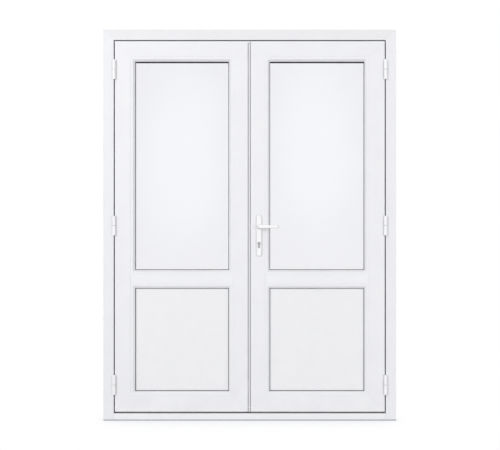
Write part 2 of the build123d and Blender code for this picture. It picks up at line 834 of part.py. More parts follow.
# Meeting strip: a flange in the rear steps of both leaves and a rib that fills the groove
step_z = (leaf_low + leaf_step + strip_end_clearance, leaf_top - leaf_step - strip_end_clearance)
rib_x = (active_edge - rib_from_active - rib_thick, active_edge - rib_from_active)
cap_z = (leaf_top - cap_high, leaf_top)
flange_x = (passive_edge - leaf_step, active_edge + leaf_step - running_gap / 2)
with BuildPart() as strip:
    block((flange_x[0], rib_x[1]), (land_y, back_y), step_z)
    block((rib_x[1], flange_x[1]), (stop_y, back_y), step_z)
    block((flange_x[0] + wall, rib_x[1] - wall), (land_y + wall, back_y - wall), step_z, mode=Mode.SUBTRACT)
    block((rib_x[1], flange_x[1] - wall), (stop_y + wall, back_y - wall), step_z, mode=Mode.SUBTRACT)
    block(rib_x, (front_y + rib_recess, land_y), (leaf_low, cap_z[0]))
    block(grown(rib_x, -wall), (front_y + rib_recess + wall, land_y), (leaf_low, cap_z[0]), mode=Mode.SUBTRACT)
    block((rib_x[1] - keep_recess, rib_x[1]), grown(bolt_block_y, keep_margin), keep_z, mode=Mode.SUBTRACT)
    lock_apertures(rib_x, aperture_clearance)
save(strip.part, "meeting_strip")

# Cap that closes the top of the groove
cap_y = (front_y + cap_recess, front_y + cap_recess + cap_deep)
with BuildPart() as cap:
    block((passive_edge, active_edge - cap_clearance), cap_y, cap_z)
    fillet(cap.edges().filter_by(Axis.Z).sort_by(Axis.Y)[:2], edge_round)
save(cap.part, "meeting_strip_cap")

# Keep for latch and dead bolt, let into the rib
keep_x = (rib_x[1] - keep_recess, rib_x[1] - keep_recess + keep_thick)
with BuildPart() as lock_keep:
    block(keep_x, grown(bolt_block_y, keep_margin), keep_z)
    lock_apertures(keep_x, aperture_clearance)
save(lock_keep.part, "lock_keep")

# Flush bolts and their face plates on the passive leaf's meeting edge
bolt_plates = []
for name, tip, up, middle in flush_bolt_places():
    throw = bolt_throw if up > 0 else bolt_throw_down
    with BuildPart() as bolt:
        rod((bolt_x, bolt_y, tip), (0, 0, -up), bolt_radius, bolt_long)
        chamfer(bolt.edges().filter_by(GeomType.CIRCLE), bolt_chamfer)
        block((bolt_x, passive_edge + thumb_proud), (bolt_y - thumb_wide / 2, bolt_y + thumb_wide / 2),
              (middle - thumb_high / 2, middle + thumb_high / 2))
    save(bolt.part, f"flush_bolt_{name}")
    slot_mid = middle + up * throw / 2
    with BuildPart() as bolt_plate:
        with BuildSketch(Plane(origin=(passive_edge, bolt_y, slot_mid), x_dir=(0, 1, 0), z_dir=(1, 0, 0))):
            RectangleRounded(bolt_plate_wide, bolt_plate_high, bolt_plate_round)
            Rectangle(thumb_wide + 2 * aperture_clearance, thumb_high + throw + 2 * aperture_clearance,
                      mode=Mode.SUBTRACT)
        extrude(amount=bolt_plate_thick)
    bolt_plates.append(bolt_plate.part)
save(group(bolt_plates), "flush_bolt_plates")

# Lock face plate and case
with BuildPart() as face_plate:
    block((active_edge, active_edge + face_thick), lock_y, face_z)
    lock_apertures((active_edge, active_edge + face_thick), aperture_clearance)
save(face_plate.part, "lock_face_plate")

case_inside_y = (case_y[0] + case_sheet, case_y[1] - case_sheet)
with BuildPart() as case:
    block(case_x, case_y, case_z)
    block(grown(case_x, -case_sheet), case_inside_y, grown(case_z, -case_sheet), mode=Mode.SUBTRACT)
    lock_apertures((case_x[0], case_x[0] + case_sheet), aperture_clearance)
    drill((handle_x, case_y[0], handle_height), DEPTH, spindle_hole_radius, case_thick)
    cylinder_profile(case_y, cylinder_clearance, Mode.SUBTRACT)
save(case.part, "lock_case")

# Latch: a bevelled head, a shoulder inside the case and a hooked tail over the follower
shoulder_x = (case_x[0] + case_sheet + aperture_clearance, active_edge + latch_block_end_in)
tail_z = (handle_height + hook_rise, handle_height + hook_rise + hook_high)
hook_x = (handle_x + hook_offset, handle_x + hook_offset + hook_thick)
tail_y = (bolt_block_y[0], bolt_block_y[0] + tail_thick)
with BuildPart() as latch:
    block((active_edge - latch_proud, shoulder_x[1]), bolt_block_y, latch_z)
    chamfer(latch.edges().filter_by(Axis.Z).sort_by(Axis.X)[:2].sort_by(Axis.Y)[-1], latch_bevel)
    block(shoulder_x, bolt_block_y, (handle_height - latch_high / 2, tail_z[1]))
    block((shoulder_x[0], hook_x[1]), tail_y, tail_z)
    block(hook_x, (tail_y[0], -lock_set_back + arm_thick / 2), tail_z)
save(latch.part, "latch_bolt")

# Dead bolt, drawn back into the case
bolt_rest = active_edge + bolt_sunk
with BuildPart() as dead_bolt:
    block((bolt_rest, active_edge + bolt_block_end_in), bolt_block_y, bolt_block_z)
    fillet(dead_bolt.edges().filter_by(Axis.Y).sort_by(Axis.X)[:2], edge_round)
save(dead_bolt.part, "dead_bolt")

# Follower that turns with the spindle, with an arm behind the latch's hook
with BuildPart() as follower:
    half = case_inside_y[1] + lock_set_back - aperture_clearance
    rod((handle_x, -lock_set_back - arm_thick / 2, handle_height), DEPTH, hub_radius, arm_thick)
    rod((handle_x, -lock_set_back - half, handle_height), DEPTH, spindle_hole_radius - aperture_clearance, 2 * half)
    block((handle_x - arm_wide / 2, handle_x + arm_wide / 2),
          (-lock_set_back - arm_thick / 2, -lock_set_back + arm_thick / 2),
          (handle_height, handle_height + arm_reach))
    hole = spindle / 2 + pin_clearance
    block((handle_x - hole, handle_x + hole), (-leaf_depth, leaf_depth), (handle_height - hole, handle_height + hole),
          mode=Mode.SUBTRACT)
save(follower.part, "lock_follower")

# Square spindle through the leaf
plate_face_y = back_y + plate_thick
spindle_end = plate_face_y + spindle_past_plate
with BuildPart() as spindle_bar:
    block((handle_x - spindle / 2, handle_x + spindle / 2), (-spindle_end, spindle_end),
          (handle_height - spindle / 2, handle_height + spindle / 2))
save(spindle_bar.part, "handle_spindle")

# Long plates: hollow castings with bosses for the lever's neck and the through screws
for name, toward in (("front", -1), ("back", 1)):
    seat = toward * back_y
    out = Vector(0, toward, 0)
    origin = Vector(handle_x, seat, plate_mid)
    with BuildPart() as plate:
        with BuildSketch(Plane(origin=origin, x_dir=(0, 0, 1), z_dir=out)):
            SlotOverall(plate_high, plate_wide)
        extrude(amount=plate_thick)
        fillet(plate.faces().sort_by(Axis.Y)[-1 if toward > 0 else 0].edges(), plate_round)
        with BuildSketch(Plane(origin=origin, x_dir=(0, 0, 1), z_dir=out)):
            SlotOverall(plate_high - 2 * plate_wall, plate_wide - 2 * plate_wall)
        extrude(amount=plate_thick - plate_wall, mode=Mode.SUBTRACT)
        rod((handle_x, seat, handle_height), out, neck_radius + plate_wall, plate_thick - plate_wall / 2)
        cylinder_profile(sorted((seat, seat + toward * (plate_thick - plate_wall / 2))), plate_wall, Mode.ADD)
        for height in plate_screw_heights:
            rod((handle_x, seat, height), out, boss_radius, plate_thick - plate_wall / 2)
        rod((handle_x, seat, handle_height), out, neck_radius + neck_clearance, plate_thick, mode=Mode.SUBTRACT)
        cylinder_profile(sorted((seat, seat + toward * plate_thick)), cylinder_clearance, Mode.SUBTRACT)
        for height in plate_screw_heights:
            if toward < 0:
                drill((handle_x, seat, height), out, plate_screw_radius, plate_thick - plate_wall)
            else:
                with Locations(Plane(origin=(handle_x, seat + plate_thick, height), z_dir=out)):
                    CounterSinkHole(plate_screw_radius + plate_screw_clearance,
                                    plate_screw_head + plate_screw_clearance, depth=plate_thick,
                                    counter_sink_angle=countersink_angle)
    save(plate.part, f"handle_plate_{name}")

# Through screws, put in from the back plate
plate_countersink = (plate_screw_head - plate_screw_radius) / tan(radians(countersink_angle / 2))
plate_screws = []
for height in plate_screw_heights:
    with BuildPart() as plate_screw:
        with Locations(Plane(origin=(handle_x, plate_face_y, height), z_dir=(0, -1, 0))):
            Cone(plate_screw_head, plate_screw_radius, plate_countersink,
                 align=(Align.CENTER, Align.CENTER, Align.MIN))
            Cylinder(plate_screw_radius, plate_thick + leaf_depth + plate_screw_in_front_plate,
                     align=(Align.CENTER, Align.CENTER, Align.MIN))
    plate_screws.append(plate_screw.part)
save(group(plate_screws), "handle_plate_screws")

# Levers: a round neck that turns in the plate, an arm bent away from the meeting edge and a short return
for name, toward in (("front", -1), ("back", 1)):
    neck_y = toward * back_y
    arm_y = toward * (back_y + lever_stand)
    return_y = arm_y - toward * lever_return
    tip_x = handle_x + lever_long
    with BuildPart() as lever:
        with BuildLine(Plane(origin=(0, 0, handle_height), x_dir=(1, 0, 0), z_dir=(0, 0, 1))):
            FilletPolyline((handle_x, toward * plate_face_y), (handle_x, arm_y), (tip_x, arm_y), (tip_x, return_y),
                           radius=(lever_bend, lever_return_bend))
        with BuildSketch(Plane(origin=(handle_x, toward * plate_face_y, handle_height), x_dir=(1, 0, 0),
                               z_dir=(0, toward, 0))):
            RectangleRounded(lever_thick, lever_wide, lever_round)
        sweep()
        rod((handle_x, neck_y + toward * pin_clearance, handle_height), (0, toward, 0), neck_radius,
            plate_thick - pin_clearance)
        rod((handle_x, toward * (plate_face_y + pin_clearance), handle_height), (0, toward, 0), neck_collar_radius,
            neck_collar)
        hole = spindle / 2 + pin_clearance
        block((handle_x - hole, handle_x + hole), (neck_y, toward * (spindle_end + pin_clearance)),
              (handle_height - hole, handle_height + hole), mode=Mode.SUBTRACT)
    save(lever.part, f"lever_{name}")

# Euro profile cylinder body, cut away in the middle for the cam
cylinder_y = (-plate_face_y - cylinder_past_plate, plate_face_y + cylinder_past_plate)
cam_y = (-lock_set_back - cam_thick / 2, -lock_set_back + cam_thick / 2)
with BuildPart() as cylinder:
    cylinder_profile(cylinder_y, 0.0, Mode.ADD)
    rod((handle_x, cylinder_y[0], cylinder_z), DEPTH, plug_radius + plug_clearance,
        cylinder_y[1] - cylinder_y[0], mode=Mode.SUBTRACT)
    block((handle_x - cam_lug, handle_x + cam_lug), grown(cam_y, cam_play),
          (cylinder_z - cam_lug - cam_play, cylinder_z + cam_lug), mode=Mode.SUBTRACT)
save(cylinder.part, "lock_cylinder")

# Plug with its keyways and the cam that throws the dead bolt
with BuildPart() as plug:
    rod((handle_x, cylinder_y[0], cylinder_z), DEPTH, plug_radius, cylinder_y[1] - cylinder_y[0])
    rod((handle_x, cam_y[0], cylinder_z), DEPTH, cam_radius, cam_thick)
    block((handle_x - cam_lug_wide / 2, handle_x + cam_lug_wide / 2), cam_y, (cylinder_z - cam_lug, cylinder_z))
    for y in ((cylinder_y[0], cylinder_y[0] + keyway_deep), (cylinder_y[1] - keyway_deep, cylinder_y[1])):
        block((handle_x - keyway_wide / 2, handle_x + keyway_wide / 2), y,
              (cylinder_z - keyway_high / 2, cylinder_z + keyway_high / 2), mode=Mode.SUBTRACT)
save(plug.part, "cylinder_plug")
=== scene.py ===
"""Looks of a white double door set: finishes, turned and cast hardware, and a plain studio."""

from __future__ import annotations

import logging
import math
from dataclasses import dataclass
from enum import Enum
from functools import cache
from typing import Iterable, Sequence

import bmesh
import bpy
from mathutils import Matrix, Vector

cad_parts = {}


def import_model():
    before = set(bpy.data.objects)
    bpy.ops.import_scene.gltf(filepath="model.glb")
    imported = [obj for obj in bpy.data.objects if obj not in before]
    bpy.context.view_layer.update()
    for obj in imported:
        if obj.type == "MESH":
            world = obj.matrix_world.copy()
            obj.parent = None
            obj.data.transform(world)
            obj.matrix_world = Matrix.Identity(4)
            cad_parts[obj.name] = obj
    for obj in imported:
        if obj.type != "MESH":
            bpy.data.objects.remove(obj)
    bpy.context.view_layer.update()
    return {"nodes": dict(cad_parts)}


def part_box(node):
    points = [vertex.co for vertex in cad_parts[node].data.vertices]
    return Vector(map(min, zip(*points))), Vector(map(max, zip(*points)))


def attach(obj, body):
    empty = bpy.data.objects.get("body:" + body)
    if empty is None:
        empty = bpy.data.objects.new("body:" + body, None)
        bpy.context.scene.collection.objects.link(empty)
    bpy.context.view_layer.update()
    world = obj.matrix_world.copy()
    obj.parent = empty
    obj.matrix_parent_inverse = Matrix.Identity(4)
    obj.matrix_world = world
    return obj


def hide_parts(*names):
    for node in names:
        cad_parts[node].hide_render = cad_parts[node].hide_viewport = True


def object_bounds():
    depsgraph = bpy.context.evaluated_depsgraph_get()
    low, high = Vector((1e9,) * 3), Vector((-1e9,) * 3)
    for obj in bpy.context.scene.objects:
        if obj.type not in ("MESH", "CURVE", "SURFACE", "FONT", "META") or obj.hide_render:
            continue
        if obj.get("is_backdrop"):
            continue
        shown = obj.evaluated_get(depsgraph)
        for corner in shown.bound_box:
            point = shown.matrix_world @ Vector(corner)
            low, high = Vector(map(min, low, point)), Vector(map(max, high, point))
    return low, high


log = logging.getLogger("door")

Colour = tuple[float, float, float]
Triple = tuple[float, float, float]
Span = tuple[float, float]
Ring = list[Vector]
Node = bpy.types.Node
Socket = bpy.types.NodeSocket
Tree = bpy.types.NodeTree
Material = bpy.types.Material
Piece = bpy.types.Object
Given = dict[str | int, object]
Nodes = dict[str, Piece]

MM = 0.001
WHITE: Colour = (1.0, 1.0, 1.0)

# Sockets of Blender's colour mix node, whose names repeat.
MIX_SHARE, MIX_FIRST, MIX_SECOND, MIX_RESULT = 0, 6, 7, 2

# How far the roughness of plastic and paint wanders under and over its middle.
LESS_ROUGH, MORE_ROUGH = 0.03, 0.05


class Leaf(Enum):
    """The two leaves, by the prefix of their node names."""

    PASSIVE = "passive"
    ACTIVE = "active"


class Run(Enum):
    """Direction that a hollow profile was drawn in, as the stretch of its die lines."""

    UPRIGHT = (260.0, 260.0, 1.2)
    LEVEL = (1.2, 260.0, 260.0)


class Face(Enum):
    """Side of the leaf that a piece of hardware stands on, as its Y direction."""

    FRONT = -1
    BACK = 1


@dataclass(frozen=True)
class Seam:
    """Plane of a welded mitre, in the row frame."""

    point: Triple
    normal: Triple


class Graph:
    """Short hand for building one node tree."""

    def __init__(self, tree: Tree) -> None:
        """Keep the tree that nodes go into."""
        self.tree = tree

    def feed(self, node: Node, given: Given) -> Node:
        """Set inputs of a node to values, or link other nodes' outputs to them.

        Args:
            node: the node to feed.
            given: a value or a socket for each input's name or number.

        Returns:
            The same node.
        """
        for name, value in given.items():
            if isinstance(value, Socket):
                self.tree.links.new(value, node.inputs[name])
            else:
                node.inputs[name].default_value = value
        return node

    def node(self, kind: str, given: Given | None = None, **settings: object) -> Node:
        """Add a node.

        Args:
            kind: Blender's name of the node type.
            given: what its inputs are fed with.
            settings: properties to set on the new node.

        Returns:
            The new node.
        """
        made = self.tree.nodes.new(kind)
        for name, value in settings.items():
            setattr(made, name, value)
        return self.feed(made, given or {})

    def math(
        self, operation: str, first: object, second: object = 0.0, clamp: bool = False,
    ) -> Socket:
        """Add a maths node.

        Args:
            operation: the sum to do.
            first: first number or socket.
            second: second number or socket.
            clamp: keep the answer from 0 to 1.

        Returns:
            The answer.
        """
        given = {0: first, 1: second}
        return self.node("ShaderNodeMath", given, operation=operation, use_clamp=clamp).outputs[0]

    def vector(self, operation: str, first: object, second: object = (0.0, 0.0, 0.0)) -> Node:
        """Add a vector maths node.

        Args:
            operation: the sum to do.
            first: first vector or socket.
            second: second vector or socket.

        Returns:
            The new node.
        """
        return self.node("ShaderNodeVectorMath", {0: first, 1: second}, operation=operation)

    def spread(
        self, value: object, span: Sequence[object], onto: Sequence[object] = (0.0, 1.0),
    ) -> Socket:
        """Map a range of values smoothly onto another.

        Args:
            value: number or socket to map.
            span: start and end of the range.
            onto: answers at its start and end.

        Returns:
            The mapped value.
        """
        given = {
            "Value": value, "From Min": span[0], "From Max": span[1],
            "To Min": onto[0], "To Max": onto[1],
        }
        made = self.node("ShaderNodeMapRange", given, interpolation_type="SMOOTHSTEP")
        return made.outputs["Result"]

    def noise(self, place: Socket, scale: object, detail: float = 2.0) -> Socket:
        """Noise of a given scale at a place, from 0 to 1."""
        given = {"Vector": place, "Scale": scale, "Detail": detail}
        return self.node("ShaderNodeTexNoise", given).outputs["Fac"]

    def height_of(self, place: Socket) -> Socket:
        """The Z part of a place or direction."""
        return self.node("ShaderNodeSeparateXYZ", {0: place}).outputs["Z"]

    def mixed(self, share: object, first: object, second: object) -> Socket:
        """Mix two colours.

        Args:
            share: part of the second colour, from 0 to 1.
            first: colour or socket at share 0.
            second: colour or socket at share 1.

        Returns:
            The mixed colour.
        """
        made = self.node("ShaderNodeMix", data_type="RGBA")
        for index, value in ((MIX_SHARE, share), (MIX_FIRST, first), (MIX_SECOND, second)):
            self.feed(made, {index: (*value, 1.0) if isinstance(value, tuple) else value})
        return made.outputs[MIX_RESULT]

    def masked(self, mask: Socket, share: float, colour: object, dark: Colour) -> Socket:
        """Mix a colour into another one where a mask says so.

        Args:
            mask: where, from 0 to 1.
            share: part of the dark colour where the mask is 1.
            colour: colour or socket outside the mask.
            dark: the colour to mix in.

        Returns:
            The mixed colour.
        """
        return self.mixed(self.math("MULTIPLY", mask, share), colour, dark)


class Groups:
    """Shader node groups that several finishes share, each built once."""

    @staticmethod
    def start(
        name: str, inputs: dict[str, float | None], outputs: Sequence[str],
    ) -> tuple[Graph, object, Node]:
        """Make an empty group with its sockets.

        Args:
            name: the group's name.
            inputs: starting value of each number input, and None for each vector input.
            outputs: names of the number outputs.

        Returns:
            The group's graph, what its inputs hand on, and its output node.
        """
        tree = bpy.data.node_groups.new(name, "ShaderNodeTree")
        for label, value in inputs.items():
            kind = "NodeSocketVector" if value is None else "NodeSocketFloat"
            made = tree.interface.new_socket(name=label, in_out="INPUT", socket_type=kind)
            if value is not None:
                made.default_value = value
        for label in outputs:
            tree.interface.new_socket(name=label, in_out="OUTPUT", socket_type="NodeSocketFloat")
        graph = Graph(tree)
        return graph, graph.node("NodeGroupInput").outputs, graph.node("NodeGroupOutput")

    @staticmethod
    @cache
    def weld() -> Tree:
        """Build the mask of the fine groove that a cleaned weld leaves along a mitre plane.

        Returns:
            The group.
        """
        inputs = {"Place": None, "Point": None, "Normal": None, "Width": 1.0 * MM}
        graph, given, out = Groups.start("weld", inputs, ["Mask"])
        away = graph.vector("SUBTRACT", given["Place"], given["Point"]).outputs[0]
        along = graph.vector("DOT_PRODUCT", away, given["Normal"]).outputs["Value"]
        share = graph.math("DIVIDE", graph.math("ABSOLUTE", along), given["Width"])
        graph.feed(out, {"Mask": graph.spread(share, (0.3, 1.0), (1.0, 0.0))})
        return graph.tree

    @staticmethod
    @cache
    def grain() -> Tree:
        """Build stretched fine lines over a slow ripple, for drawn plastic and brushed metal.

        Returns:
            The group.
        """
        inputs = {"Place": None, "Lines": None, "Ripple Scale": 14.0, "Line Share": 0.5}
        graph, given, out = Groups.start("grain", inputs, ["Height", "Shade"])
        lines = graph.noise(given["Lines"], 1.0, detail=3.0)
        ripple = graph.noise(given["Place"], given["Ripple Scale"], detail=1.5)
        fine = graph.math("MULTIPLY", lines, given["Line Share"])
        graph.feed(out, {"Height": graph.math("ADD", fine, ripple), "Shade": ripple})
        return graph.tree

    @staticmethod
    @cache
    def painted_crease_shade() -> Tree:
        """Build the mask of narrow joints and corners, where shade is painted into the colour.

        Returns:
            The group.
        """
        graph, given, out = Groups.start("painted_crease_shade", {"Reach": 4.0 * MM}, ["Mask"])
        near = graph.node("ShaderNodeAmbientOcclusion", {"Distance": given["Reach"]}, samples=8)
        graph.feed(out, {"Mask": graph.spread(near.outputs["AO"], (0.25, 0.95), (1.0, 0.0))})
        return graph.tree

    @staticmethod
    @cache
    def painted_foot_shadow() -> Tree:
        """Build the mask of the last few millimetres above the floor, where a contact shadow is
        painted.

        Returns:
            The group.
        """
        inputs = {"Place": None, "Low": 2.0 * MM, "High": 10.0 * MM}
        graph, given, out = Groups.start("painted_foot_shadow", inputs, ["Mask"])
        height = graph.height_of(given["Place"])
        graph.feed(out, {"Mask": graph.spread(height, (given["Low"], given["High"]), (1.0, 0.0))})
        return graph.tree

    @staticmethod
    def place(graph: Graph, tree: Tree, given: Given) -> Node:
        """Put a shared group with its own values into a material's graph."""
        return graph.node("ShaderNodeGroup", given, node_tree=tree)


def start_material(name: str) -> tuple[Material, Graph, Node, Socket]:
    """Make a material with one Principled shader.

    Args:
        name: the material's name.

    Returns:
        The material, its graph, its Principled node and the object's own coordinates.
    """
    material = bpy.data.materials.new(name)
    material.use_nodes = True
    graph = Graph(material.node_tree)
    place = graph.node("ShaderNodeTexCoord").outputs["Object"]
    return material, graph, material.node_tree.nodes["Principled BSDF"], place


def add_bump(graph: Graph, shader: Node, height: Socket, distance: float) -> None:
    """Feed a height through a bump node into the shader's normal.

    Args:
        graph: the material's graph.
        shader: its Principled node.
        height: the height to read.
        distance: metres that a height of 1 stands for.
    """
    bump = graph.node("ShaderNodeBump", {"Height": height, "Distance": distance, "Strength": 1.0})
    graph.feed(shader, {"Normal": bump.outputs["Normal"]})


@dataclass(frozen=True)
class ProfileFinish:
    """Smooth white extrusion with faint die lines, a fine groove at each weld, and painted shade in
    its joints.
    """

    colour: Colour = (0.862, 0.864, 0.886)
    shade: Colour = (0.846, 0.848, 0.872)
    shade_span: Span = (0.3, 0.7)
    ripple_scale: float = 9.0
    line_share: float = 0.35
    seam_colour: Colour = (0.56, 0.565, 0.59)
    seam_width: float = 0.7 * MM
    seam_strength: float = 0.35
    seam_sink: float = 2.0
    roughness: float = 0.34
    rough_span: Span = (0.4, 1.0)
    bump: float = 0.05 * MM
    # Painted shade: a dark colour mixed in where other surfaces crowd close, in joints, recesses
    # and gaps.
    painted_shade_colour: Colour = (0.3, 0.305, 0.32)
    painted_shade_share: float = 0.8
    painted_shade_reach: float = 8.0 * MM
    # Painted contact shadow along the last millimetres above the floor.
    painted_foot_shadow_share: float = 0.0

    def material(self, name: str, run: Run, seams: Iterable[Seam] = ()) -> Material:
        """Build the finish for one member.

        Args:
            name: the material's name.
            run: direction of the die lines.
            seams: the welds at the member's ends.

        Returns:
            The material.
        """
        material, graph, shader, place = start_material(name)
        grain = Groups.place(graph, Groups.grain(), {
            "Place": place, "Lines": graph.vector("MULTIPLY", place, run.value).outputs[0],
            "Ripple Scale": self.ripple_scale, "Line Share": self.line_share,
        }).outputs
        colour = graph.mixed(graph.spread(grain["Shade"], self.shade_span), self.colour, self.shade)
        height = grain["Height"]
        for seam in seams:
            mask = Groups.place(graph, Groups.weld(), {
                "Place": place, "Point": seam.point, "Normal": seam.normal,
                "Width": self.seam_width,
            }).outputs["Mask"]
            colour = graph.masked(mask, self.seam_strength, colour, self.seam_colour)
            height = graph.math("SUBTRACT", height, graph.math("MULTIPLY", mask, self.seam_sink))
        # Painted shade where nearby surfaces occlude the member.
        painted_crease_shade = Groups.place(graph, Groups.painted_crease_shade(), {"Reach": self.painted_shade_reach}).outputs["Mask"]
        colour = graph.masked(painted_crease_shade, self.painted_shade_share, colour, self.painted_shade_colour)
        # Painted contact shadow at the foot of the member.
        if self.painted_foot_shadow_share:
            painted_foot_shadow = Groups.place(graph, Groups.painted_foot_shadow(), {"Place": place}).outputs["Mask"]
            colour = graph.masked(painted_foot_shadow, self.painted_foot_shadow_share, colour, self.painted_shade_colour)
        onto = (self.roughness - LESS_ROUGH, self.roughness + MORE_ROUGH)
        rough = graph.spread(grain["Height"], self.rough_span, onto)
        graph.feed(shader, {"Base Color": colour, "Roughness": rough})
        add_bump(graph, shader, height, self.bump)
        return material


@dataclass(frozen=True)
class CoatFinish:
    """Powder coat or moulded skin: an even colour with a soft orange peel."""

    colour: Colour
    roughness: float
    peel_scale: float = 900.0
    peel: float = 0.03 * MM
    tone: float = 0.97
    cloud_scale: float = 16.0
    cloud_span: Span = (0.35, 0.65)
    rough_span: Span = (0.3, 0.7)
    # Painted shade: a dark colour for the creases and for the faces that look down.
    painted_shade_colour: Colour = (0.2, 0.2, 0.21)
    painted_shade_share: float = 0.0
    painted_shade_reach: float = 2.5 * MM
    # Painted shade on the faces that look down, as if lit from above.
    painted_under_shade_share: float = 0.0
    painted_under_shade_span: Span = (-0.9, -0.1)

    def material(self, name: str) -> Material:
        """Build the finish under a name.

        Args:
            name: the material's name.

        Returns:
            The material.
        """
        material, graph, shader, place = start_material(name)
        slow = graph.noise(place, self.cloud_scale)
        darker = tuple(part * self.tone for part in self.colour)
        colour = graph.mixed(graph.spread(slow, self.cloud_span), self.colour, darker)
        # Painted shade in the creases round the piece.
        if self.painted_shade_share:
            painted_crease_shade = Groups.place(graph, Groups.painted_crease_shade(), {"Reach": self.painted_shade_reach})
            mask = painted_crease_shade.outputs["Mask"]
            colour = graph.masked(mask, self.painted_shade_share, colour, self.painted_shade_colour)
        # Painted shade on the downward faces, as if lit from above.
        if self.painted_under_shade_share:
            facing = graph.height_of(graph.node("ShaderNodeTexCoord").outputs["Normal"])
            under = graph.spread(facing, self.painted_under_shade_span, (self.painted_under_shade_share, 0.0))
            colour = graph.mixed(under, colour, self.painted_shade_colour)
        onto = (self.roughness - LESS_ROUGH, self.roughness + MORE_ROUGH)
        rough = graph.spread(slow, self.rough_span, onto)
        graph.feed(shader, {"Base Color": colour, "Roughness": rough})
        add_bump(graph, shader, graph.noise(place, self.peel_scale), self.peel)
        return material


@dataclass(frozen=True)
class RubberFinish:
    """Matt seal with a trace of bloom and a fine tooth."""

    colour: Colour = (0.016, 0.016, 0.018)
    bloom: Colour = (0.045, 0.045, 0.048)
    bloom_scale: float = 45.0
    bloom_detail: float = 4.0
    bloom_span: Span = (0.4, 0.75)
    bloom_share: float = 0.6
    roughness: Span = (0.62, 0.8)
    specular: float = 0.25
    tooth_scale: float = 2200.0
    tooth: float = 0.04 * MM

    def material(self, name: str) -> Material:
        """Build the finish under a name.

        Args:
            name: the material's name.

        Returns:
            The material.
        """
        material, graph, shader, place = start_material(name)
        noise = graph.noise(place, self.bloom_scale, self.bloom_detail)
        cloud = graph.spread(noise, self.bloom_span, (0.0, self.bloom_share))
        graph.feed(shader, {
            "Base Color": graph.mixed(cloud, self.colour, self.bloom),
            "Roughness": graph.spread(cloud, (0.0, self.bloom_share), self.roughness),
            "Specular IOR Level": self.specular,
        })
        add_bump(graph, shader, graph.noise(place, self.tooth_scale), self.tooth)
        return material


@dataclass(frozen=True)
class MetalFinish:
    """Plated or brushed metal with fine lines along one direction."""

    colour: Colour
    roughness: float
    lines: Triple = (1600.0, 1600.0, 40.0)
    bump: float = 0.02 * MM
    tone: float = 0.86
    ripple_scale: float = 60.0
    line_share: float = 0.8
    height_span: Span = (0.5, 1.1)
    less_rough: float = 0.05
    more_rough: float = 0.08

    def material(self, name: str) -> Material:
        """Build the finish under a name.

        Args:
            name: the material's name.

        Returns:
            The material.
        """
        material, graph, shader, place = start_material(name)
        height = Groups.place(graph, Groups.grain(), {
            "Place": place, "Lines": graph.vector("MULTIPLY", place, self.lines).outputs[0],
            "Ripple Scale": self.ripple_scale, "Line Share": self.line_share,
        }).outputs["Height"]
        darker = tuple(part * self.tone for part in self.colour)
        onto = (self.roughness - self.less_rough, self.roughness + self.more_rough)
        graph.feed(shader, {
            "Base Color": graph.mixed(graph.spread(height, self.height_span), self.colour, darker),
            "Roughness": graph.spread(height, self.height_span, onto),
            "Metallic": 1.0,
        })
        add_bump(graph, shader, height, self.bump)
        return material


@dataclass(frozen=True)
class ZincFinish:
    """Galvanised sheet with its spangle."""

    colour: Colour = (0.52, 0.54, 0.56)
    bright: Colour = (0.68, 0.7, 0.72)
    spangle_scale: float = 120.0
    roughness: Span = (0.32, 0.55)
    bump: float = 0.02 * MM

    def material(self, name: str) -> Material:
        """Build the finish under a name.

        Args:
            name: the material's name.

        Returns:
            The material.
        """
        material, graph, shader, place = start_material(name)
        cells = graph.node("ShaderNodeTexVoronoi", {"Vector": place, "Scale": self.spangle_scale})
        parts = graph.node("ShaderNodeSeparateColor", {0: cells.outputs["Color"]}).outputs
        graph.feed(shader, {
            "Base Color": graph.mixed(parts[0], self.colour, self.bright),
            "Roughness": graph.spread(parts[1], (0.0, 1.0), self.roughness),
            "Metallic": 1.0,
        })
        add_bump(graph, shader, parts[0], self.bump)
        return material


